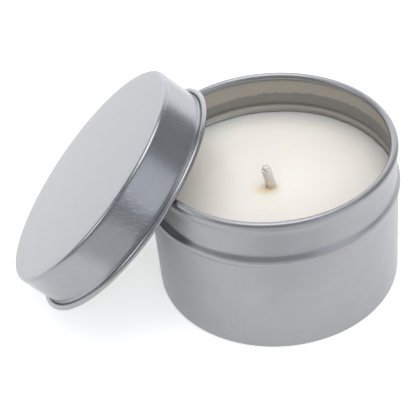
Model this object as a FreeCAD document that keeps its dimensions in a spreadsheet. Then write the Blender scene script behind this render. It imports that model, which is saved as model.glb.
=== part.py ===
"""Candle tin: a seamless can of wax with a wick, and its slip lid leaning against the rim.

The origin is the centre of the can's base, on the surface it stands on. +Z is up, and the lid
leans on the -X side. All sizes are in millimetres.
"""
import FreeCAD, Part
import math
import os
import Sketcher

doc = FreeCAD.newDocument("candle_tin")

# ------------------------------------------------------------------ driving dimensions

SIZES = {
    # sheet metal of the can and the lid
    "tinplate": 0.25,
    # can
    "can_radius": 39.0,
    "can_corner": 2.0,
    "panel_radius": 33.5,
    "panel_lift": 0.6,
    "foot_ring_radius": 35.0,
    "bead_centre_radius": 37.15,
    "bead_centre_height": 35.9,
    "bead_round": 2.5,
    "neck_radius": 38.5,
    "rim_centre_radius": 37.65,
    "rim_centre_height": 49.0,
    "rim_round": 1.25,
    "rim_flat": 1.2,
    "rim_end_angle": 240.0,
    # lid, measured from the plane of its mouth
    "lid_radius": 39.55,
    "lid_height": 15.15,
    "lid_corner": 1.2,
    "hem_centre_radius": 40.8,
    "hem_round": 0.9,
    "hem_start_angle": 200.0,
    "hem_end_angle": 140.0,
    # how the lid leans
    "lid_tilt": 45.1,
    "lid_reach": 48.5,
    # wax
    "wax_level": 34.2,
    "wax_gap": 0.05,
    # wick, and the tab and sticker that hold it
    "wick_offset_x": -0.5,
    "wick_offset_y": -1.7,
    "wick_radius": 1.6,
    "core_radius": 0.75,
    "wick_gap": 0.02,
    "wick_stand": 7.8,
    "wick_lean": 11.0,
    "wick_bend": 12.0,
    "sticker_radius": 9.0,
    "sticker_thickness": 0.8,
    "tab_radius": 10.0,
    "tab_thickness": 0.3,
    "crimp_height": 5.0,
    "crimp_wall": 0.35,
}

sheet = doc.addObject("Spreadsheet::Sheet", "size")
for row, (alias, number) in enumerate(SIZES.items(), start=1):
    sheet.set("A%d" % row, alias)
    sheet.set("B%d" % row, str(number))
    sheet.setAlias("B%d" % row, alias)
doc.recompute()


def value(expression):
    """The number that an expression on the sheet's cells gives."""
    return float(sheet.evalExpression(expression.replace("size.", "")))


# ------------------------------------------------------------------ helpers for bodies and sketches

def new_body(label):
    body = doc.addObject("PartDesign::Body", label)
    body.Label = label
    return body


def new_sketch(body, name, role):
    """A sketch on one of the body's own origin planes."""
    plane = next(f for f in body.Origin.OriginFeatures if f.Role == role)
    sketch = body.newObject("Sketcher::SketchObject", name)
    sketch.AttachmentSupport = [(plane, "")]
    sketch.MapMode = "FlatFace"
    return sketch


def pin_point(sketch, edge, end, name, across, up):
    """Bind one end of an edge to the expressions for its two distances from the origin."""
    for letter, kind, axis, expression in (("x", "DistanceX", -2, across), ("y", "DistanceY", -1, up)):
        if expression == "0":
            sketch.addConstraint(Sketcher.Constraint("PointOnObject", edge, end, axis))
            continue
        index = sketch.addConstraint(Sketcher.Constraint(kind, -1, 1, edge, end, value(expression)))
        sketch.renameConstraint(index, letter + "_" + name)
        sketch.setExpression(".Constraints." + letter + "_" + name, expression)


def draw_outline(sketch, points, edges):
    """Draw a closed outline.

    points maps a name to its two expressions. edges is the outline in order: a pair of names is a
    straight edge, and a longer entry is an arc, with its centre's point, its radius and the way it
    turns (+1 anticlockwise, -1 clockwise).
    """
    places = {name: FreeCAD.Vector(value(across), value(up), 0) for name, (across, up) in points.items()}
    ends = []
    for entry in edges:
        start, finish = entry[:2]
        if len(entry) == 2:
            index = sketch.addGeometry(Part.LineSegment(places[start], places[finish]), False)
            ends.append((index, 1, 2))
            continue
        centre, radius, turn = entry[2:]
        first, last = (start, finish) if turn > 0 else (finish, start)
        spokes = [places[name].sub(places[centre]) for name in (first, last)]
        angles = [math.atan2(spoke.y, spoke.x) for spoke in spokes]
        if angles[1] <= angles[0]:
            angles[1] += 2 * math.pi
        circle = Part.Circle(places[centre], FreeCAD.Vector(0, 0, 1), value(radius))
        index = sketch.addGeometry(Part.ArcOfCircle(circle, *angles), False)
        ends.append((index, 1, 2) if turn > 0 else (index, 2, 1))
    for place, entry in enumerate(edges):
        index, begin, finish = ends[place]
        following = ends[(place + 1) % len(edges)]
        sketch.addConstraint(Sketcher.Constraint("Coincident", index, finish, following[0], following[1]))
        pin_point(sketch, index, begin, entry[0], *points[entry[0]])
        if len(entry) > 2:
            limit = sketch.addConstraint(Sketcher.Constraint("Radius", index, value(entry[3])))
            sketch.renameConstraint(limit, "round_" + entry[0])
            sketch.setExpression(".Constraints.round_" + entry[0], entry[3])


def draw_circle(sketch, name, radius):
    """A circle about the sketch's origin."""
    circle = Part.Circle(FreeCAD.Vector(0, 0, 0), FreeCAD.Vector(0, 0, 1), value(radius))
    index = sketch.addGeometry(circle, False)
    sketch.addConstraint(Sketcher.Constraint("Coincident", index, 3, -1, 1))
    limit = sketch.addConstraint(Sketcher.Constraint("Radius", index, value(radius)))
    sketch.renameConstraint(limit, name)
    sketch.setExpression(".Constraints." + name, radius)


def revolve(body, sketch, name):
    """Turn a half section once round the body's upright axis."""
    feature = body.newObject("PartDesign::Revolution", name)
    feature.Profile = sketch
    feature.ReferenceAxis = (sketch, ["V_Axis"])
    feature.Angle = 360.0
    sketch.Visibility = False
    return feature


def bind_base(body, across, along, up):
    """Bind the place of a body to expressions on the sheet."""
    for letter, expression in (("x", across), ("y", along), ("z", up)):
        body.setExpression("Placement.Base." + letter, expression)


# ------------------------------------------------------------------ can

def make_can():
    """Half section of one drawn sheet.

    From the raised base panel it goes out to the foot ring, round the base corner, up the wall, over
    the outward bead to the neck, and rolls inwards at the rim. The inner face runs back parallel.
    """
    arc_in = "(size.bead_round - size.tinplate)"
    roll_in = "(size.rim_round - size.tinplate)"
    neck_in = "size.neck_radius - size.tinplate"
    wall_in = "size.can_radius - size.tinplate"
    bead_out = "(size.neck_radius - size.bead_centre_radius)"
    bead_out_in = "(size.neck_radius - size.tinplate - size.bead_centre_radius)"
    wall_out = "(size.can_radius - size.bead_centre_radius)"
    wall_out_in = "(size.can_radius - size.tinplate - size.bead_centre_radius)"
    roll_out = "(size.neck_radius - size.rim_centre_radius)"
    roll_low = "size.rim_centre_height - size.rim_flat"
    roll_out_in = "(size.neck_radius - size.tinplate - size.rim_centre_radius)"
    slope = "atan(size.panel_lift / (size.foot_ring_radius - size.panel_radius))"
    mitre = "size.tinplate * tan(" + slope + " / 2)"
    corner_x = "size.can_radius - size.can_corner"
    points = {
        "panel": ("0", "size.panel_lift"),
        "panel_edge": ("size.panel_radius", "size.panel_lift"),
        "foot_in": ("size.foot_ring_radius", "0"),
        "foot_out": (corner_x, "0"),
        "wall_low": ("size.can_radius", "size.can_corner"),
        "wall_high": (
            "size.can_radius",
            "size.bead_centre_height - sqrt(size.bead_round^2 - " + wall_out + "^2)",
        ),
        "neck_low": (
            "size.neck_radius",
            "size.bead_centre_height + sqrt(size.bead_round^2 - " + bead_out + "^2)",
        ),
        "neck_high": (
            "size.neck_radius",
            roll_low + " - sqrt(size.rim_round^2 - " + roll_out + "^2)",
        ),
        "roll_flat_low": ("size.rim_centre_radius + size.rim_round", roll_low),
        "roll_flat_high": ("size.rim_centre_radius + size.rim_round", "size.rim_centre_height"),
        "roll_end": (
            "size.rim_centre_radius + size.rim_round * cos(size.rim_end_angle)",
            "size.rim_centre_height + size.rim_round * sin(size.rim_end_angle)",
        ),
        "roll_end_in": (
            "size.rim_centre_radius + " + roll_in + " * cos(size.rim_end_angle)",
            "size.rim_centre_height + " + roll_in + " * sin(size.rim_end_angle)",
        ),
        "roll_flat_high_in": ("size.rim_centre_radius + " + roll_in, "size.rim_centre_height"),
        "roll_flat_low_in": ("size.rim_centre_radius + " + roll_in, roll_low),
        "neck_high_in": (neck_in, roll_low + " - sqrt(" + roll_in + "^2 - " + roll_out_in + "^2)"),
        "neck_low_in": (neck_in, "size.bead_centre_height + sqrt(" + arc_in + "^2 - " + bead_out_in + "^2)"),
        "wall_high_in": (wall_in, "size.bead_centre_height - sqrt(" + arc_in + "^2 - " + wall_out_in + "^2)"),
        "wall_low_in": (wall_in, "size.can_corner"),
        "foot_out_in": (corner_x, "size.tinplate"),
        "foot_in_in": ("size.foot_ring_radius + " + mitre, "size.tinplate"),
        "panel_edge_in": ("size.panel_radius + " + mitre, "size.panel_lift + size.tinplate"),
        "panel_in": ("0", "size.panel_lift + size.tinplate"),
        "corner": (corner_x, "size.can_corner"),
        "bead": ("size.bead_centre_radius", "size.bead_centre_height"),
        "rim": ("size.rim_centre_radius", "size.rim_centre_height"),
        "rim_low": ("size.rim_centre_radius", roll_low),
    }
    edges = [
        ("panel", "panel_edge"),
        ("panel_edge", "foot_in"),
        ("foot_in", "foot_out"),
        ("foot_out", "wall_low", "corner", "size.can_corner", 1),
        ("wall_low", "wall_high"),
        ("wall_high", "neck_low", "bead", "size.bead_round", 1),
        ("neck_low", "neck_high"),
        ("neck_high", "roll_flat_low", "rim_low", "size.rim_round", 1),
        ("roll_flat_low", "roll_flat_high"),
        ("roll_flat_high", "roll_end", "rim", "size.rim_round", 1),
        ("roll_end", "roll_end_in"),
        ("roll_end_in", "roll_flat_high_in", "rim", "size.rim_round - size.tinplate", -1),
        ("roll_flat_high_in", "roll_flat_low_in"),
        ("roll_flat_low_in", "neck_high_in", "rim_low", "size.rim_round - size.tinplate", -1),
        ("neck_high_in", "neck_low_in"),
        ("neck_low_in", "wall_high_in", "bead", "size.bead_round - size.tinplate", -1),
        ("wall_high_in", "wall_low_in"),
        ("wall_low_in", "foot_out_in", "corner", "size.can_corner - size.tinplate", -1),
        ("foot_out_in", "foot_in_in"),
        ("foot_in_in", "panel_edge_in"),
        ("panel_edge_in", "panel_in"),
        ("panel_in", "panel"),
    ]
    body = new_body("can")
    sketch = new_sketch(body, "can_section", "XZ_Plane")
    draw_outline(sketch, points, edges)
    revolve(body, sketch, "can_shell")
    return body


# ------------------------------------------------------------------ lid

def make_lid():
    """Half section of one drawn sheet, upright, with the plane of the mouth at height zero.

    From the flat top it goes round the corner and down the skirt, flares, and rolls outwards into the
    hem. Then the whole lid is tilted so that its hem stands on the ground and its mouth faces the can.
    """
    hem_in = "(size.hem_round - size.tinplate)"
    flare = "tan(size.hem_start_angle - 180)"
    hem_x = "size.hem_centre_radius + size.hem_round * cos(size.hem_start_angle)"
    hem_y = "size.hem_round + size.hem_round * sin(size.hem_start_angle)"
    hem_x_in = "size.hem_centre_radius + " + hem_in + " * cos(size.hem_start_angle)"
    hem_y_in = "size.hem_round + " + hem_in + " * sin(size.hem_start_angle)"
    skirt_in = "size.lid_radius - size.tinplate"
    corner_x = "size.lid_radius - size.lid_corner"
    corner_y = "size.lid_height - size.lid_corner"
    points = {
        "top_in": ("0", "size.lid_height - size.tinplate"),
        "top_edge_in": (corner_x, "size.lid_height - size.tinplate"),
        "skirt_high_in": (skirt_in, corner_y),
        "skirt_low_in": (skirt_in, hem_y + " + (" + hem_x + " - " + skirt_in + ") / " + flare),
        "hem_start": (hem_x, hem_y),
        "hem_end": (
            "size.hem_centre_radius + size.hem_round * cos(size.hem_end_angle)",
            "size.hem_round + size.hem_round * sin(size.hem_end_angle)",
        ),
        "hem_end_in": (
            "size.hem_centre_radius + " + hem_in + " * cos(size.hem_end_angle)",
            "size.hem_round + " + hem_in + " * sin(size.hem_end_angle)",
        ),
        "hem_start_in": (hem_x_in, hem_y_in),
        "skirt_low": ("size.lid_radius", hem_y_in + " + (" + hem_x_in + " - size.lid_radius) / " + flare),
        "skirt_high": ("size.lid_radius", corner_y),
        "top_edge": (corner_x, "size.lid_height"),
        "top": ("0", "size.lid_height"),
        "corner": (corner_x, corner_y),
        "hem": ("size.hem_centre_radius", "size.hem_round"),
    }
    edges = [
        ("top_in", "top_edge_in"),
        ("top_edge_in", "skirt_high_in", "corner", "size.lid_corner - size.tinplate", -1),
        ("skirt_high_in", "skirt_low_in"),
        ("skirt_low_in", "hem_start"),
        ("hem_start", "hem_end", "hem", "size.hem_round", 1),
        ("hem_end", "hem_end_in"),
        ("hem_end_in", "hem_start_in", "hem", "size.hem_round - size.tinplate", -1),
        ("hem_start_in", "skirt_low"),
        ("skirt_low", "skirt_high"),
        ("skirt_high", "top_edge", "corner", "size.lid_corner", 1),
        ("top_edge", "top"),
        ("top", "top_in"),
    ]
    body = new_body("lid")
    sketch = new_sketch(body, "lid_section", "XZ_Plane")
    draw_outline(sketch, points, edges)
    revolve(body, sketch, "lid_shell")
    body.Placement = FreeCAD.Placement(FreeCAD.Vector(), FreeCAD.Rotation(FreeCAD.Vector(0, -1, 0), 1))
    body.setExpression("Placement.Rotation.Angle", "size.lid_tilt")
    rolled = "size.hem_round * (1 - cos(size.lid_tilt))"
    lift = rolled + " + size.hem_centre_radius * sin(size.lid_tilt)"
    bind_base(body, "size.hem_round * sin(size.lid_tilt) - size.lid_reach", "0", lift)
    return body


# ------------------------------------------------------------------ wick, tab and sticker

FLOOR = "(size.panel_lift + size.tinplate)"
TAB_BASE = "(" + FLOOR + " + size.sticker_thickness)"


def make_wick_piece(label, radius, hole):
    """A round cord along the wick's line.

    The line goes straight up from the tab to the wax, bends over by wick_lean degrees and goes on
    straight to the cut end. The piece is turned half round, so that it leans towards -X.
    """
    body = new_body(label)
    path = new_sketch(body, label + "_line", "XZ_Plane")
    rise = "size.wax_level - " + TAB_BASE
    bend_x = "size.wick_bend * (1 - cos(size.wick_lean))"
    bend_y = rise + " + size.wick_bend * sin(size.wick_lean)"
    tip_x = bend_x + " + (size.wick_stand - size.wick_bend * sin(size.wick_lean)) * tan(size.wick_lean)"
    tip_y = rise + " + size.wick_stand"
    ends = (("0", rise), (bend_x, bend_y), (tip_x, tip_y))
    places = [FreeCAD.Vector(value(across), value(up), 0) for across, up in ends]
    centre = FreeCAD.Vector(value("size.wick_bend"), value(rise), 0)
    circle = Part.Circle(centre, FreeCAD.Vector(0, 0, 1), value("size.wick_bend"))
    lean = math.radians(value("size.wick_lean"))
    path.addGeometry(Part.LineSegment(FreeCAD.Vector(), places[0]), False)
    path.addGeometry(Part.ArcOfCircle(circle, math.pi - lean, math.pi), False)
    path.addGeometry(Part.LineSegment(places[1], places[2]), False)
    path.addConstraint(Sketcher.Constraint("Coincident", 0, 1, -1, 1))
    path.addConstraint(Sketcher.Constraint("Coincident", 0, 2, 1, 2))
    path.addConstraint(Sketcher.Constraint("Coincident", 1, 1, 2, 1))
    pin_point(path, 0, 2, "wax", "0", rise)
    pin_point(path, 2, 1, "bend", bend_x, bend_y)
    pin_point(path, 2, 2, "tip", tip_x, tip_y)
    limit = path.addConstraint(Sketcher.Constraint("Radius", 1, value("size.wick_bend")))
    path.renameConstraint(limit, "bend")
    path.setExpression(".Constraints.bend", "size.wick_bend")
    ring = new_sketch(body, label + "_ring", "XY_Plane")
    draw_circle(ring, "outside", radius)
    if hole:
        draw_circle(ring, "inside", hole)
    doc.recompute()
    pipe = body.newObject("PartDesign::AdditivePipe", label + "_cord")
    pipe.Profile = ring
    pipe.Spine = (path, ["Edge1", "Edge2", "Edge3"])
    body.Placement = FreeCAD.Placement(FreeCAD.Vector(), FreeCAD.Rotation(FreeCAD.Vector(0, 0, 1), 180))
    bind_base(body, "size.wick_offset_x", "size.wick_offset_y", TAB_BASE)
    return body


def make_sustainer():
    """Pressed tab: a flat disc with a neck that grips the wick, in half section."""
    grip = "size.wick_radius + size.wick_gap"
    points = {
        "hole": (grip, "0"),
        "edge": ("size.tab_radius", "0"),
        "edge_top": ("size.tab_radius", "size.tab_thickness"),
        "neck_foot": (grip + " + size.crimp_wall", "size.tab_thickness"),
        "neck_top": (grip + " + size.crimp_wall", "size.crimp_height"),
        "neck_top_in": (grip, "size.crimp_height"),
    }
    names = list(points)
    body = new_body("wick_sustainer")
    sketch = new_sketch(body, "sustainer_section", "XZ_Plane")
    draw_outline(sketch, points, list(zip(names, names[1:] + names[:1])))
    revolve(body, sketch, "sustainer_shell")
    bind_base(body, "size.wick_offset_x", "size.wick_offset_y", TAB_BASE)
    return body


def make_sticker():
    sticker = doc.addObject("Part::Cylinder", "sustainer_sticker")
    sticker.Label = "sustainer_sticker"
    sticker.setExpression("Radius", "size.sticker_radius")
    sticker.setExpression("Height", "size.sticker_thickness")
    bind_base(sticker, "size.wick_offset_x", "size.wick_offset_y", FLOOR)
    return sticker


# ------------------------------------------------------------------ wax

def sink(body, name, radius, bottom, depth):
    """Cut a round hole about the wick's line, from one height of the body upwards."""
    sketch = new_sketch(body, name + "_circle", "XY_Plane")
    sketch.setExpression("AttachmentOffset.Base.x", "size.wick_offset_x")
    sketch.setExpression("AttachmentOffset.Base.y", "size.wick_offset_y")
    sketch.setExpression("AttachmentOffset.Base.z", bottom)
    draw_circle(sketch, "round", radius)
    pocket = body.newObject("PartDesign::Pocket", name)
    pocket.Profile = sketch
    pocket.Reversed = True
    pocket.setExpression("Length", depth)
    sketch.Visibility = False
    return pocket


def make_wax():
    """The poured block: it fills the can from the base panel to the wax level, and closes round the
    sticker, the tab, its neck and the wick."""
    side = "size.can_radius - size.tinplate - size.wax_gap"
    corner_x = "size.can_radius - size.can_corner"
    low = "size.tinplate + size.wax_gap"
    slope = "atan(size.panel_lift / (size.foot_ring_radius - size.panel_radius))"
    mitre = "(size.tinplate + size.wax_gap) * tan(" + slope + " / 2)"
    points = {
        "bottom": ("0", FLOOR),
        "panel_edge": ("size.panel_radius + " + mitre + " + size.wax_gap / tan(" + slope + ")", FLOOR),
        "ring_in": ("size.foot_ring_radius + " + mitre, low),
        "ring_out": (corner_x, low),
        "wall_low": (side, "size.can_corner"),
        "wall_high": (side, "size.wax_level"),
        "top": ("0", "size.wax_level"),
        "corner": (corner_x, "size.can_corner"),
    }
    edges = [
        ("bottom", "panel_edge"),
        ("panel_edge", "ring_in"),
        ("ring_in", "ring_out"),
        ("ring_out", "wall_low", "corner", "size.can_corner - size.tinplate - size.wax_gap", 1),
        ("wall_low", "wall_high"),
        ("wall_high", "top"),
        ("top", "bottom"),
    ]
    body = new_body("wax")
    sketch = new_sketch(body, "wax_section", "XZ_Plane")
    draw_outline(sketch, points, edges)
    revolve(body, sketch, "wax_block")
    gap = " + size.wick_gap"
    neck = "size.wick_radius + size.wick_gap + size.crimp_wall"
    sink(body, "sticker_hole", "size.sticker_radius" + gap, FLOOR, "size.sticker_thickness")
    sink(body, "tab_hole", "size.tab_radius" + gap, TAB_BASE, "size.tab_thickness" + gap)
    sink(body, "neck_hole", neck + gap, TAB_BASE, "size.crimp_height" + gap)
    sink(body, "wick_hole", "size.wick_radius" + gap, TAB_BASE, "size.wax_level")
    return body


# ------------------------------------------------------------------ build, check and write

parts = [
    make_can(),
    make_lid(),
    make_wax(),
    make_wick_piece("wick_braid", "size.wick_radius", "size.core_radius"),
    make_wick_piece("wick_core", "size.core_radius - size.wick_gap", None),
    make_sustainer(),
    make_sticker(),
]
doc.recompute()

for item in doc.Objects:
    if "Invalid" in item.State or "Error" in item.State:
        raise RuntimeError(item.Label + " did not build: " + str(item.State))

os.makedirs("parts", exist_ok=True)
for part in parts:
    if part.Shape.isNull() or not part.Shape.isValid() or len(part.Shape.Solids) != 1:
        raise RuntimeError(part.Label + " is not one sound solid")
    part.Shape.exportStep(os.path.join("parts", part.Label + ".step"))
    box = part.Shape.optimalBoundingBox(False)
    print("%-18s %9.1f mm3  x %.2f..%.2f  y %.2f..%.2f  z %.2f..%.2f" % (
        part.Label, part.Shape.Volume, box.XMin, box.XMax, box.YMin, box.YMax, box.ZMin, box.ZMax))
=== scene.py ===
"""Looks of the candle tin: spun tinplate shells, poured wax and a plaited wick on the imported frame.

Shapes are worked out in millimetres, with Z up the can's axis, and go into the meshes in metres.
"""

import math

import bpy
import numpy as np
from mathutils import Matrix, Vector


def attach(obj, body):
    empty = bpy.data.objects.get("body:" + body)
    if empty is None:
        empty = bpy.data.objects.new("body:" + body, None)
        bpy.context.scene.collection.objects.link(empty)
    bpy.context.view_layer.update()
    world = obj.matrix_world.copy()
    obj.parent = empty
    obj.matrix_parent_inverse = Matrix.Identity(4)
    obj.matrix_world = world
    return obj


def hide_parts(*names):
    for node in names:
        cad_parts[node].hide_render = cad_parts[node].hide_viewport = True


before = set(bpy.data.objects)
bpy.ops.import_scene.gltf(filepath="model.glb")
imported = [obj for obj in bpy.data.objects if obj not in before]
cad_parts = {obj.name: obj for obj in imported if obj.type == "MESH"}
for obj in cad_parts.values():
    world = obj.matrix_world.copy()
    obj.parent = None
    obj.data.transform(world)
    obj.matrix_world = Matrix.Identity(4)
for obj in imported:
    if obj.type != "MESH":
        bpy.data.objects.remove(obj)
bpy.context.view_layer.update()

MM = 0.001

# ---------------------------------------------------------------- sizes shared with the CAD, in mm

SHEET = 0.25
WALL_RADIUS = 39.0
CAN_CORNER = 2.0
PANEL_RADIUS = 33.5
PANEL_LIFT = 0.6
FOOT_RING_RADIUS = 35.0
BEAD_CENTRE = (37.15, 35.9)
BEAD_ROUND = 2.5
NECK_RADIUS = 38.5
RIM_CENTRE = (37.65, 49.0)
RIM_ROUND = 1.25
RIM_FLAT = 1.2
RIM_END = 240
LID_RADIUS = 39.55
LID_HEIGHT = 15.15
LID_CORNER = 1.2
HEM_CENTRE = (40.8, 0.9)
HEM_ROUND = 0.9
HEM_TURNS = (200, 500)
LID_TILT = math.radians(45.1)
LID_REACH = 48.5
WAX_LEVEL = 34.2
WAX_RADIUS = 38.7
WAX_GAP = 0.05
WAX_RING_EDGE = 35.06
WAX_PANEL_EDGE = 33.68
WICK_FOOT = np.array((-0.5, -1.7, 1.65))
WICK_HOLE = 1.62
WICK_LEAN = math.radians(11.0)
WICK_BEND = 12.0
WICK_STAND = 7.8
NECK_HOLE = (1.99, 6.67)
TAB_HOLE = (10.02, 1.97)
STICKER_HOLE = 9.02

# ---------------------------------------------------------------- softness and fineness of meshes

STEP = 0.02
FINE_SPREAD = 0.16
BROAD_SPREAD = 0.60
LID_SPREAD = 0.10
TURN_LIMIT = 8.0
GAP_LIMIT = 3.0
SHEET_SIDES = 216
WAX_SIDES = 240
WAX_TOP_ROWS = 90

# ---------------------------------------------------------------- curves in a half section


def run(start, finish):
    """Straight run: points start + (finish - start) * t, one STEP apart."""
    start, finish = np.array(start, float), np.array(finish, float)
    count = max(2, int(np.linalg.norm(finish - start) / STEP) + 1)
    return start + np.linspace(0, 1, count)[:, None] * (finish - start)


def bow(centre, radius, first, last):
    """Arc: centre + radius * (cos, sin) of an angle that goes evenly from first to last degrees."""
    count = max(3, int(abs(math.radians(last - first)) * radius / STEP) + 1)
    angle = np.radians(np.linspace(first, last, count))
    return np.array(centre) + radius * np.stack([np.cos(angle), np.sin(angle)], 1)


def even(path):
    """The same path with its points evenly spaced along its length, one STEP apart."""
    gaps = np.linalg.norm(np.diff(path, axis=0), axis=1)
    path = path[np.r_[True, gaps > 1e-9]]
    length = np.r_[0, np.cumsum(gaps[gaps > 1e-9])]
    wanted = np.linspace(0, length[-1], int(length[-1] / STEP) + 1)
    return np.stack([np.interp(wanted, length, path[:, axis]) for axis in (0, 1)], 1)


def soften(path, spread):
    """Round the path's corners.

    Each point becomes the mean of its neighbours, weighted by exp(-(distance / spread)^2 / 2). The
    path is continued by its own point reflection at both ends, which keeps the ends in place."""
    path = even(path)
    reach = int(4 * spread / STEP)
    head = 2 * path[0] - path[reach:0:-1]
    tail = 2 * path[-1] - path[-2:-reach - 2:-1]
    weights = np.exp(-0.5 * (np.arange(-reach, reach + 1) * STEP / spread) ** 2)
    weights /= weights.sum()
    longer = np.concatenate([head, path, tail])
    return np.stack([np.convolve(longer[:, axis], weights, "valid") for axis in (0, 1)], 1)


def slopes(path):
    """Unit direction of the path at each point."""
    along = np.gradient(path, axis=0)
    return along / np.linalg.norm(along, axis=1)[:, None]


def thin_out(path):
    """Which points to keep, so that from one to the next the path turns by TURN_LIMIT degrees at
    most, or goes GAP_LIMIT millimetres.

    Each point has a cost that grows with turning and length, and whole numbers are kept."""
    along = slopes(path)
    turned = np.degrees(np.arccos(np.clip((along[1:] * along[:-1]).sum(1), -1, 1)))
    gaps = np.linalg.norm(np.diff(path, axis=0), axis=1)
    cost = np.r_[0, np.cumsum(turned / TURN_LIMIT + gaps / GAP_LIMIT)]
    count = int(math.ceil(cost[-1])) + 1
    return np.unique(np.searchsorted(cost, np.linspace(0, cost[-1] - 1e-6, count)))


def wrap_sheet(middle):
    """Closed half section of the sheet: the middle line moved half the thickness to its right, a
    half circle round the free edge, and the middle line moved to its left, back to the axis."""
    along = slopes(middle)
    right = np.stack([along[:, 1], -along[:, 0]], 1) * SHEET / 2
    keep = thin_out(middle)
    turns = np.radians(np.arange(30, 180, 30))[:, None]
    edge = middle[-1] + right[-1] * np.cos(turns) + along[-1] * np.sin(turns) * SHEET / 2
    section = np.concatenate([(middle + right)[keep], edge, (middle - right)[keep][::-1]])
    section[[0, -1], 0] = 0
    return section


# ---------------------------------------------------------------- meshes


def place_mesh(name, points, faces, body, material, node):
    """Put points in millimetres and faces into a smooth object that rides on a body and takes the
    place of a CAD node."""
    mesh = bpy.data.meshes.new(name)
    mesh.from_pydata((np.asarray(points, float) * MM).tolist(), [], faces)
    mesh.polygons.foreach_set("use_smooth", np.ones(len(mesh.polygons), bool))
    mesh.update()
    piece = bpy.data.objects.new(name, mesh)
    bpy.context.scene.collection.objects.link(piece)
    mesh.materials.append(material)
    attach(piece, body)
    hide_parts(node)
    return piece


def spin(section):
    """Turn a half section round the Z axis: (r, z) becomes (r cos a, r sin a, z) for every angle a.

    The section starts and ends on the axis, so each end is one shared point with a fan of faces."""
    count = SHEET_SIDES
    angle = np.arange(count) * 2 * math.pi / count
    ring = np.stack([np.cos(angle), np.sin(angle)], 1)
    inner = section[1:-1]
    rings = np.concatenate([
        inner[:, None, :1] * ring[None],
        np.broadcast_to(inner[:, None, 1:], (len(inner), count, 1)),
    ], 2).reshape(-1, 3)
    points = np.concatenate([rings, [[0, 0, section[0, 1]], [0, 0, section[-1, 1]]]])
    index = np.arange(len(inner) * count).reshape(len(inner), count)
    after = np.roll(index, -1, 1)
    quads = np.stack([index[:-1], after[:-1], after[1:], index[1:]], 2).reshape(-1, 4)
    first, last = len(rings), len(rings) + 1
    below = np.stack([np.full(count, first), after[0], index[0]], 1)
    above = np.stack([index[-1], after[-1], np.full(count, last)], 1)
    return points, quads.tolist() + below.tolist() + above.tolist()


def grid_faces(rows, columns, close_rows=False):
    """Quads between neighbours in a grid of points, whose rows are rings. With close_rows the last
    ring joins the first."""
    index = np.arange(rows * columns).reshape(rows, columns)
    if close_rows:
        index = np.concatenate([index, index[:1]])
    index = np.concatenate([index, index[:, :1]], 1)
    corners = [index[:-1, :-1], index[:-1, 1:], index[1:, 1:], index[1:, :-1]]
    return np.stack(corners, 2).reshape(-1, 4)


# ---------------------------------------------------------------- shader maths


class Wire:
    """A socket whose operators add Math nodes, so that shader maths reads as an expression."""

    def __init__(self, tree, socket):
        self.tree, self.socket = tree, socket

    def math(self, operation, *others):
        """A Math node of this and the other values, in that order."""
        values = {place: other for place, other in enumerate((self, *others))}
        return self.tree.add("ShaderNodeMath", {"operation": operation}, values)

    def __add__(self, other):
        return self.math("ADD", other)

    def __sub__(self, other):
        return self.math("SUBTRACT", other)

    def __mul__(self, other):
        return self.math("MULTIPLY", other)

    def __truediv__(self, other):
        return self.math("DIVIDE", other)

    __radd__ = __add__
    __rmul__ = __mul__

    def __rsub__(self, other):
        return self.tree.add("ShaderNodeMath", {"operation": "SUBTRACT"}, {0: other, 1: self})

    def within(self, low, high):
        """0 below low, 1 above high, and a smooth step between them."""
        return self.tree.add(
            "ShaderNodeMapRange",
            {"interpolation_type": "SMOOTHSTEP"},
            {"Value": self, "From Min": low, "From Max": high},
        )


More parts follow.
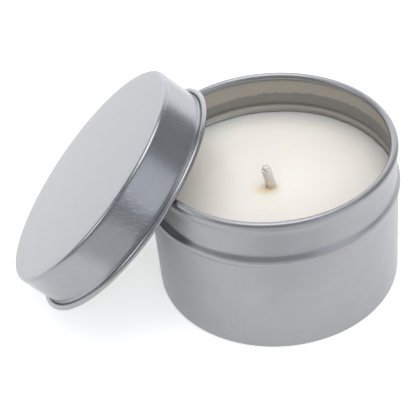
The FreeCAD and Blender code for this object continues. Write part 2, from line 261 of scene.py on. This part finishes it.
class Finish:
    """A material and its one Principled shader."""

    def __init__(self, name, **constants):
        self.material = bpy.data.materials.new(name)
        self.material.use_nodes = True
        self.nodes = self.material.node_tree.nodes
        self.links = self.material.node_tree.links
        self.shader = self.nodes["Principled BSDF"]
        for socket, number in constants.items():
            self.shader.inputs[socket.replace("_", " ")].default_value = number

    def add(self, kind, settings=None, values=None, output=0):
        """Any node: its settings first, then the values or links of its sockets."""
        node = self.nodes.new(kind)
        for setting, choice in (settings or {}).items():
            setattr(node, setting, choice)
        for socket, given in (values or {}).items():
            self.join(given, node.inputs[socket])
        return Wire(self, node.outputs[output])

    def join(self, given, socket):
        """Link a wire to a socket, or give the socket a plain value."""
        if isinstance(given, Wire):
            self.links.new(given.socket, socket)
        else:
            socket.default_value = given

    def feed(self, **wires):
        """Link wires or give values to the shader's own sockets."""
        for socket, given in wires.items():
            self.join(given, self.shader.inputs[socket.replace("_", " ")])
        return self.material

    def spot(self, turn=(0, 0, 0), shift=(0, 0, 0)):
        """Place on the piece in millimetres, turned and then shifted out of the shared frame."""
        place = self.add("ShaderNodeTexCoord", output=3)
        return self.add(
            "ShaderNodeMapping",
            None,
            {"Vector": place, "Scale": (1 / MM,) * 3, "Rotation": turn, "Location": shift},
        )

    def parts(self, vector):
        """The three numbers of a vector."""
        node = self.nodes.new("ShaderNodeSeparateXYZ")
        self.links.new(vector.socket, node.inputs[0])
        return [Wire(self, output) for output in node.outputs]

    def vector(self, x, y, z):
        """One vector of three numbers."""
        return self.add("ShaderNodeCombineXYZ", None, {0: x, 1: y, 2: z})

    def noise(self, vector, scale, detail, rough):
        """Soft noise between 0 and 1, with scale waves to the millimetre."""
        return self.add(
            "ShaderNodeTexNoise",
            None,
            {"Vector": vector, "Scale": scale, "Detail": detail, "Roughness": rough},
        )

    def stretch(self, vector, x, y, z):
        """The place scaled by its own amount along each direction."""
        values = {0: vector, 1: (x, y, z)}
        return self.add("ShaderNodeVectorMath", {"operation": "MULTIPLY"}, values)

    def blend(self, share, one, other):
        """Mix of two colours: one where share is 0, other where it is 1."""
        node = self.nodes.new("ShaderNodeMix")
        node.data_type = "RGBA"
        for socket, given in ((0, share), (6, one), (7, other)):
            if not isinstance(given, Wire) and socket:
                given = (*given, 1)
            self.join(given, node.inputs[socket])
        return Wire(self, node.outputs[2])

    def bump(self, height, depth, strength):
        """Normal bent by a height, where 1 stands for depth millimetres."""
        values = {"Height": height, "Distance": depth * MM, "Strength": strength}
        return self.add("ShaderNodeBump", None, values)


# ---------------------------------------------------------------- finishes


def tinplate(name, tone, rough, turn=(0, 0, 0), shift=(0, 0, 0), scuffs=0.0, film_and_painted_light=False):
    """Satin tinplate of one tone and roughness, with turn and shift making the piece upright.

    The colour and gloss wander with a soft mottle, drawing lines run down the walls, spinning lines
    run round the flat faces, and fine grain covers everything. scuffs is the strength of short
    bright marks across a part of the lid's skirt. The last option paints light into the inside
    faces, where the mesh's "inner" attribute is 1: a warm painted reflection of the wax, painted
    lighter low down by the wax where the groove is shaded, and it adds the dull ragged band that wax
    leaves above it."""
    steel = Finish(name, Metallic=1.0)
    place = steel.spot(turn, shift)
    x, y, z = steel.parts(place)
    radius = (x * x + y * y).math("SQRT")
    mottle = steel.noise(place, 0.16, 3.0, 0.55)
    cloud = steel.noise(place, 0.9, 4.0, 0.6)
    grain = steel.noise(place, 9.0, 2.0, 0.6)
    drawn = steel.noise(steel.stretch(place, 1.6, 1.6, 0.03), 1.0, 3.0, 0.6)
    spun = steel.noise(steel.vector(radius * 2.5, z * 0.4, 0.0), 1.0, 3.0, 0.6)
    wall = radius.within(37.2, 37.8)
    lines = spun * (1 - wall) + drawn * wall
    soft, spots, strands, specks = (wave - 0.5 for wave in (mottle, cloud, lines, grain))
    shade = soft * 0.15 + spots * 0.12 + strands * 0.10 + specks * 0.05
    gloss = rough + spots * 0.10 + strands * 0.08 + specks * 0.06
    height = lines * 0.5 + grain * 0.35 + cloud * 0.4
    dark = [part * 0.90 for part in tone]
    light = [part * 1.10 for part in tone]
    colour = steel.blend(0.5 + shade * 4.0, dark, light)
    if scuffs:
        around = x * 0.87 + y * 0.5
        strokes = steel.vector(around * 0.10 - z * 0.23, around * 1.83 + z * 0.81, 0.0)
        streak = steel.noise(strokes, 1.0, 3.0, 0.6).within(0.54, 0.66)
        start, finish, front = (-9, -1), (3, 10), (-25, -20)
        patch = around.within(*start) * (1 - around.within(*finish)) * (1 - y.within(*front))
        marks = streak * patch * wall
        bright = [min(1.0, part * 1.7) for part in tone]
        colour = steel.blend(marks * scuffs, colour, bright)
        gloss = gloss - marks * 0.08
        height = height + marks * 0.8
    if film_and_painted_light:
        ragged = steel.noise(place, 0.35, 5.0, 0.8)
        jag = steel.noise(place, 2.2, 3.0, 0.7)
        film_top = 40.0 + ragged * 2.8 + jag * 1.4 + x * 0.02
        inner = steel.add("ShaderNodeAttribute", {"attribute_name": "inner"}, output=2)
        film_foot, bead_top, roll_foot = (37.5, 38.2), (37.0, 39.0), (48.6, 49.4)
        inside = inner.within(0.4, 0.6) * (1 - z.within(*roll_foot))
        band = (film_top - z).within(0.0, 0.25) * z.within(*film_foot) * inside
        # painted light: the inside faces get a warm painted reflection of the wax and are painted
        # lighter low down by the wax, where the groove lies in shade; the grey band colour is wax
        # film
        painted_lift_near_wax, painted_warmth_near_rim, filmed = (0.58, 0.56, 0.53), (0.38, 0.36, 0.325), (0.26, 0.26, 0.255)
        painted_inner_light = steel.blend(z.within(*bead_top), painted_lift_near_wax, painted_warmth_near_rim)
        colour = steel.blend(inside * 0.85, colour, painted_inner_light)
        colour = steel.blend(band * 0.8, colour, filmed)
        gloss = gloss + band * 0.12
    normal = steel.bump(height, 0.012, 0.6)
    return steel.feed(Base_Color=colour, Roughness=gloss, Normal=normal)


def poured_wax():
    """Cream wax: light passes softly through it, its surface is slightly uneven, and an amber stain
    lies round the front of the wick's foot, an ellipse with a wandering edge."""
    wax = Finish(
        "poured_wax", IOR=1.44, Subsurface_Weight=0.6, Subsurface_Scale=0.008,
        Subsurface_Radius=(1.0, 0.75, 0.5),
    )
    place = wax.spot()
    x, y, z = wax.parts(place)
    mottle = wax.noise(place, 0.07, 3.0, 0.5)
    pores = wax.noise(place, 1.4, 3.0, 0.6)
    ripple = wax.noise(place, 0.35, 2.0, 0.5)
    middle, half_size = (-1.6, -3.2), (4.6, 2.9)
    east, north = (x - middle[0]) / half_size[0], (y - middle[1]) / half_size[1]
    wobble = (wax.noise(place, 0.45, 2.0, 0.5) - 0.5) * 0.5
    reach = (east * east + north * north).math("SQRT") + wobble
    stain = (1 - reach.within(-0.1, 1.3)) * z.within(WAX_LEVEL - 4, WAX_LEVEL - 1)
    deep, pale, amber = (0.86, 0.81, 0.74), (0.89, 0.85, 0.79), (0.90, 0.66, 0.36)
    colour = wax.blend(stain * 0.9, wax.blend(mottle, deep, pale), amber)
    rough = 0.42 + (pores - 0.5) * 0.12
    normal = wax.bump(pores * 0.4 + ripple, 0.10, 0.5)
    return wax.feed(Base_Color=colour, Roughness=rough, Normal=normal)


def waxed_cotton():
    """Bleached cotton yarn: fibres run along it, and it is soaked amber at its foot; above the wax
    the amber fades upwards, and it stays stronger on the side that faces the lid."""
    cotton = Finish(
        "waxed_cotton", Subsurface_Weight=0.5, Subsurface_Scale=0.0015,
        Subsurface_Radius=(1.0, 0.9, 0.8),
    )
    place = cotton.spot()
    x, _, z = cotton.parts(place)
    yarn = cotton.add("ShaderNodeUVMap", {"uv_map": "yarn"})
    fibre = cotton.noise(cotton.stretch(yarn, 26.0, 1.4, 0.0), 1.0, 3.0, 0.6)
    fleck = cotton.noise(place, 1.1, 3.0, 0.6)
    # amber that fades over 7.5 mm above the wax, stronger on the side towards the lid (-X), plus a
    # strong amber at the foot
    side = 1 - (x + 1.5).within(-0.9, 0.8)
    amber_share = (1 - z.within(WAX_LEVEL + 0.2, WAX_LEVEL + 7.5)) * (0.32 + side * 0.5)
    amber_share = amber_share + (1 - z.within(WAX_LEVEL + 0.2, WAX_LEVEL + 2.8)) * 0.6
    amber_share = (amber_share + (fleck - 0.5) * 0.25).within(0.0, 1.0)
    bleached = cotton.blend(fibre, (0.88, 0.79, 0.68), (0.98, 0.91, 0.82))
    colour = cotton.blend(amber_share, bleached, (0.93, 0.73, 0.47))
    normal = cotton.bump(fibre + fleck * 0.3, 0.05, 0.7)
    return cotton.feed(Base_Color=colour, Roughness=0.75 + (fibre - 0.5) * 0.2, Normal=normal)


def plain_fibre(name, colour, rough):
    """Matt thread or foam with a fine fleck."""
    thread = Finish(name)
    fleck = thread.noise(thread.spot(), 3.0, 3.0, 0.6)
    shade = thread.blend(fleck, [part * 0.85 for part in colour], colour)
    gloss = rough + (fleck - 0.5) * 0.15
    return thread.feed(Base_Color=shade, Roughness=gloss, Normal=thread.bump(fleck, 0.05, 0.5))


# ---------------------------------------------------------------- can and lid


def can_middle():
    """Middle line of the can's sheet, from the middle of the base to the rim's rolled edge."""
    half = SHEET / 2
    bead, rim = BEAD_ROUND - half, RIM_ROUND - half
    wall, neck = WALL_RADIUS - half, NECK_RADIUS - half
    panel, corner = PANEL_LIFT + half, WALL_RADIUS - CAN_CORNER
    low = -math.acos((wall - BEAD_CENTRE[0]) / bead)
    high = math.acos((neck - BEAD_CENTRE[0]) / bead)
    start = -math.acos((neck - RIM_CENTRE[0]) / rim)
    roll_low = (RIM_CENTRE[0], RIM_CENTRE[1] - RIM_FLAT)
    roll_out = RIM_CENTRE[0] + rim
    return np.concatenate([
        run((0, panel), (PANEL_RADIUS, panel)),
        run((PANEL_RADIUS, panel), (FOOT_RING_RADIUS, half)),
        run((FOOT_RING_RADIUS, half), (corner, half)),
        bow((corner, CAN_CORNER), CAN_CORNER - half, -90, 0),
        run((wall, CAN_CORNER), (wall, BEAD_CENTRE[1] + bead * math.sin(low))),
        bow(BEAD_CENTRE, bead, math.degrees(low), math.degrees(high)),
        run(
            (neck, BEAD_CENTRE[1] + bead * math.sin(high)),
            (neck, roll_low[1] + rim * math.sin(start)),
        ),
        bow(roll_low, rim, math.degrees(start), 0),
        run((roll_out, roll_low[1]), (roll_out, RIM_CENTRE[1])),
        bow(RIM_CENTRE, rim, 0, RIM_END),
    ])


def lid_middle():
    """Middle line of the lid's sheet, with its mouth's plane at height zero, from the middle of the
    top over the corner, down the skirt and round the hem to its rolled edge."""
    half = SHEET / 2
    hem, skirt = HEM_ROUND - half, LID_RADIUS - half
    top, corner = LID_HEIGHT - half, LID_CORNER - half
    flare = math.radians(HEM_TURNS[0] - 180)
    hem_start = np.array(HEM_CENTRE) - hem * np.array((math.cos(flare), math.sin(flare)))
    skirt_end = hem_start[1] + (hem_start[0] - skirt) / math.tan(flare)
    return np.concatenate([
        run((0, top), (LID_RADIUS - LID_CORNER, top)),
        bow((LID_RADIUS - LID_CORNER, LID_HEIGHT - LID_CORNER), corner, 90, 0),
        run((skirt, LID_HEIGHT - LID_CORNER), (skirt, skirt_end)),
        run((skirt, skirt_end), hem_start),
        bow(HEM_CENTRE, hem, *HEM_TURNS),
    ])


def make_can(material):
    """The can's shell, with corners softened a little, and softened more at the bead and the neck.

    The share of the broad softening is exp(-((z - middle) / reach)^8). The mesh's "inner" attribute
    is 1 on the sheet's inside face, which is the second half of the section, and 0 outside."""
    fine, broad = (soften(can_middle(), spread) for spread in (FINE_SPREAD, BROAD_SPREAD))
    middle, reach = 41.0, 7.0
    share = np.exp(-((fine[:, 1:] - middle) / reach) ** 8)
    section = wrap_sheet(fine + (broad - fine) * share)
    points, faces = spin(section)
    piece = place_mesh("can_spun", points, faces, "tin", material, "can")
    inner = np.arange(1, len(section) - 1) > len(section) / 2
    side = piece.data.attributes.new("inner", "FLOAT", "POINT")
    side.data.foreach_set("value", np.r_[np.repeat(inner, SHEET_SIDES), 0, 1].astype(np.float32))


def lid_frame():
    """Turn about Y and the shift that lean the upright lid on the can."""
    sine, cosine = math.sin(LID_TILT), math.cos(LID_TILT)
    turn = np.array(((cosine, 0, -sine), (0, 1, 0), (sine, 0, cosine)))
    rise = HEM_ROUND * (1 - cosine) + HEM_CENTRE[0] * sine
    return turn, np.array((HEM_ROUND * sine - LID_REACH, 0, rise))


def make_lid(material):
    """The lid's shell, with its corners softened, leaning on the can."""
    section = wrap_sheet(soften(lid_middle(), LID_SPREAD))
    points, faces = spin(section)
    turn, shift = lid_frame()
    place_mesh("lid_spun", points @ turn.T + shift, faces, "lid", material, "lid")


# ---------------------------------------------------------------- wax


def ripple(angle, waves):
    """Sum of cosines round the circle: each wave has a count, a size and a start angle."""
    return sum(size * np.cos(count * angle + start) for count, size, start in waves)


def make_wax(material):
    """A closed skin round the poured block.

    Its rows are circles whose centre slides from the wick's line to the can's axis: a row is the
    wick's share of the centre, a radius and a height. They go over the top, down the side, under
    the block and up the hole that the tab and the wick fill. The top dips by a sine between the
    wick and the can, climbs both by a meniscus that fades as exp(-distance / reach), and drops at
    its rounded edge. Small ripples make the edge ragged, and long ones make the top uneven."""
    foot, floor, low = WICK_FOOT[2], PANEL_LIFT + SHEET, SHEET + WAX_GAP
    across = np.linspace(0, 1, WAX_TOP_ROWS)
    from_wick = (WAX_RADIUS - WICK_HOLE) * across
    from_wall = WAX_RADIUS - WICK_HOLE - from_wick
    dip = 0.12 * np.sin(np.pi * across)
    climb = 0.45 * np.exp(-from_wick / 0.9) + 0.22 * np.exp(-from_wall / 1.1)
    edge = 0.30 * np.exp(-from_wall / 0.18)
    corner = bow((WALL_RADIUS - CAN_CORNER, CAN_CORNER), CAN_CORNER - low, 0, -90)[::20]
    outline = np.concatenate([
        np.stack([1 - across, WICK_HOLE + from_wick, WAX_LEVEL - dip + climb - edge], 1),
        [(0, WAX_RADIUS, height) for height in np.linspace(33.5, 2.2, 24)],
        np.insert(corner, 0, 0, 1),
        [(0, WAX_RING_EDGE, low), (0, WAX_PANEL_EDGE, floor), (0, 25.0, floor), (0.5, 16.0, floor)],
        [(1, STICKER_HOLE, floor), (1, STICKER_HOLE, foot), (1, TAB_HOLE[0], foot), (1, *TAB_HOLE)],
        [(1, NECK_HOLE[0], TAB_HOLE[1]), (1, *NECK_HOLE), (1, WICK_HOLE, NECK_HOLE[1])],
        [(1, WICK_HOLE, height) for height in np.linspace(8.0, 34.0, 12)],
    ])
    angle = np.linspace(0, 2 * math.pi, WAX_SIDES, endpoint=False)[None]
    share, radius, height = (outline[:, column][:, None] for column in range(3))
    rim = np.exp(-(WAX_RADIUS - radius) / 0.6) * (height > 30)
    ragged = ripple(angle, ((5, 0.05, 0.4), (13, 0.05, 1.9), (29, 0.04, 0.7), (47, 0.035, 2.6)))
    radius = radius - rim * (0.12 + np.abs(ragged))
    height = height + rim * ragged * 0.8
    swell = ripple(angle, ((2, 0.04, 1.1), (3, 0.03, 4.0), (7, 0.012, 2.0)))
    on_top = outline[:, 2][:, None] > WAX_LEVEL - 0.3
    height = height + on_top * swell * radius / WAX_RADIUS
    points = np.stack([
        share * WICK_FOOT[0] + radius * np.cos(angle),
        share * WICK_FOOT[1] + radius * np.sin(angle),
        np.broadcast_to(height, (len(outline), WAX_SIDES)),
    ], 2).reshape(-1, 3)
    faces = grid_faces(len(outline), WAX_SIDES, close_rows=True)[:, ::-1].tolist()
    place_mesh("wax_poured", points, faces, "tin", material, "wax")


# ---------------------------------------------------------------- wick


def wick_line(length):
    """The wick's line: straight up to the wax, a bend of WICK_LEAN towards -X, and straight on.

    Gives the place, the direction up the line and the direction in the plane of the bend."""
    rise = WAX_LEVEL - WICK_FOOT[2]
    lean = np.clip((length - rise) / WICK_BEND, 0, WICK_LEAN)
    past = np.maximum(length - rise - WICK_BEND * WICK_LEAN, 0)
    across = WICK_BEND * (1 - np.cos(lean)) + past * np.sin(lean)
    up = np.minimum(length, rise) + WICK_BEND * np.sin(lean) + past * np.cos(lean)
    place = WICK_FOOT + np.stack([-across, 0 * up, up], -1)
    along = np.stack([-np.sin(lean), 0 * lean, np.cos(lean)], -1)
    side = np.stack([np.cos(lean), 0 * lean, np.sin(lean)], -1)
    return place, along, side


def make_wick(material):
    """Tubular plait: yarns circle the wick's line both ways, and each rises and dips as it passes
    over and under the others. A yarn's cut, square to the wick, is an ellipse flat against it. The
    wick's end is cut on a slant: a yarn stops lower, the farther round to the front its end is."""
    yarns, pitch, rows, rounds = 6, 9.0, 300, 10
    tube, rise, half_thick, half_wide, slant = 1.13, 0.13, 0.30, 0.62, 0.5
    whole = (WAX_LEVEL - WICK_FOOT[2]) + WICK_STAND
    cut = np.linspace(0, 2 * math.pi, rounds, endpoint=False)
    points, faces, marks = [], [], []
    for way in (1, -1):
        for yarn in range(yarns):
            start = 2 * math.pi * yarn / yarns
            last = way * 2 * math.pi * whole / pitch + start
            length = np.linspace(0, whole - slant * (1 - math.sin(last)), rows)
            place, along, side = wick_line(length)
            rear = np.cross(along, side)
            turn = way * 2 * math.pi * length / pitch + start
            weave = way * np.cos(yarns * 2 * math.pi * length / pitch)
            outward = np.cos(turn)[:, None] * side + np.sin(turn)[:, None] * rear
            around = np.cross(along, outward)
            line = place + outward * (tube + rise * weave)[:, None]
            skin = (
                line[:, None]
                + outward[:, None] * (half_thick * np.sin(cut))[None, :, None]
                + around[:, None] * (half_wide * np.cos(cut))[None, :, None]
            )
            first = len(points) * rows * rounds
            points.append(skin.reshape(-1, 3))
            ring = list(range(first, first + rounds))
            top_ring = [index + (rows - 1) * rounds for index in ring]
            quads = grid_faces(rows, rounds)[:, ::-1] + first
            faces += quads.tolist() + [ring, top_ring[::-1]]
            round_it, up_it = np.tile(cut / (2 * math.pi), rows), np.repeat(length, rounds)
            marks.append(np.stack([round_it, up_it], 1))
    piece = place_mesh(
        "wick_plait", np.concatenate(points), faces, "tin", material, "wick_braid",
    )
    mesh = piece.data
    corner = np.zeros(len(mesh.loops), np.int32)
    mesh.loops.foreach_get("vertex_index", corner)
    layer = mesh.uv_layers.new(name="yarn")
    layer.data.foreach_set("uv", np.concatenate(marks)[corner].astype(np.float32).ravel())


# ---------------------------------------------------------------- studio


def add_area(name, where, aim, width, height, power, colour=(1, 1, 1), mirrored=None):
    """A rectangular soft light at one place, facing another.

    With mirrored=True it shows only as a reflection, with mirrored=False it is never reflected, and
    with None it does both."""
    lamp = bpy.data.lights.new(name, "AREA")
    lamp.shape = "RECTANGLE"
    lamp.size, lamp.size_y = width, height
    lamp.energy, lamp.color = power, colour
    holder = bpy.data.objects.new(name, lamp)
    holder.location = where
    holder.rotation_mode = "QUATERNION"
    holder.rotation_quaternion = (Vector(aim) - Vector(where)).to_track_quat("-Z", "Y")
    holder.visible_diffuse = mirrored is not True
    holder.visible_glossy = mirrored is not False
    bpy.context.scene.collection.objects.link(holder)


def add_floor():
    """A wide pale table top of frosted sheet, lit a little from below but for its front right."""
    frosted = Finish("frosted_sheet", Roughness=0.7, Emission_Strength=0.55)
    x, y, _ = frosted.parts(frosted.spot())
    depth = y + (x * -0.55).math("MAXIMUM", 0.0)
    unlit_edge, lit_edge = -92, -58
    lit = frosted.blend(depth.within(unlit_edge, lit_edge), (0.05, 0.05, 0.05), (1.0, 1.0, 1.0))
    material = frosted.feed(Base_Color=(0.80, 0.80, 0.80, 1), Emission_Color=lit)
    mesh = bpy.data.meshes.new("floor")
    side = 4.0
    corners = [(-side, -side, 0), (side, -side, 0), (side, side, 0), (-side, side, 0)]
    mesh.from_pydata(corners, [], [(0, 1, 2, 3)])
    mesh.materials.append(material)
    floor = bpy.data.objects.new("floor", mesh)
    bpy.context.scene.collection.objects.link(floor)


def add_studio():
    """A pale sky, soft lights and plain colour output."""
    world = bpy.data.worlds.new("studio")
    world.use_nodes = True
    sky = world.node_tree.nodes["Background"].inputs
    sky["Color"].default_value = (0.92, 0.96, 1.0, 1)
    sky["Strength"].default_value = 0.52
    bpy.context.scene.world = world
    cool = (0.85, 0.93, 1.0)
    add_area("top_box", (0.0, 0.08, 1.0), (0, 0, 0), 0.75, 0.75, 4.8)
    add_area("front_box", (0.25, -1.0, 0.60), (0, 0, 0.03), 1.0, 0.8, 6.0, mirrored=False)
    add_area("right_fill", (0.90, -0.10, 0.70), (0, 0, 0.03), 1.0, 1.0, 2.6, mirrored=False)
    add_area("back_panel", (-0.15, 1.0, 0.42), (0, 0, 0.10), 2.2, 0.9, 8.5, mirrored=True)
    add_area("right_box", (0.85, -0.55, 0.35), (0, 0, 0.03), 0.8, 0.7, 1.5, cool, mirrored=True)
    add_area("left_box", (-0.85, -0.25, 0.50), (-0.03, 0, 0.03), 0.45, 0.35, 1.3, mirrored=True)
    bpy.context.scene.view_settings.view_transform = "Standard"


def add_camera():
    """Looks down at the tin from in front, at about 40 degrees above the floor."""
    lens = bpy.data.cameras.new("camera")
    lens.lens, lens.sensor_width = 105.15, 36.0
    lens.clip_start, lens.clip_end = 0.01, 20.0
    holder = bpy.data.objects.new("camera", lens)
    right = (0.99268775, 0.08021347, -0.09020434)
    up = (0.01706695, 0.64650488, 0.76271892)
    back = (0.11949788, -0.75868125, 0.64040848)
    where = (0.02521, -0.29604, 0.27433)
    holder.matrix_world = Matrix([*zip(right, up, back, where), (0, 0, 0, 1)])
    bpy.context.scene.collection.objects.link(holder)
    bpy.context.scene.camera = holder


# ---------------------------------------------------------------- assembly

turned, shifted = lid_frame()
lid_turn = (0, LID_TILT, 0)
lid_shift = tuple(-turned.T @ shifted)
make_can(tinplate("satin_can_steel", (0.315, 0.315, 0.327), 0.37, film_and_painted_light=True))
make_lid(tinplate("satin_lid_steel", (0.290, 0.290, 0.305), 0.25, lid_turn, lid_shift, scuffs=0.6))
make_wax(poured_wax())
make_wick(waxed_cotton())
for node, material in (
    ("wick_core", plain_fibre("bleached_thread", (0.80, 0.79, 0.77), 0.8)),
    ("sustainer_sticker", plain_fibre("pad_foam", (0.86, 0.86, 0.83), 0.7)),
    ("wick_sustainer", tinplate("satin_tab_steel", (0.55, 0.55, 0.56), 0.30)),
):
    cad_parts[node].data.materials.clear()
    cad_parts[node].data.materials.append(material)
add_floor()
add_studio()
add_camera()
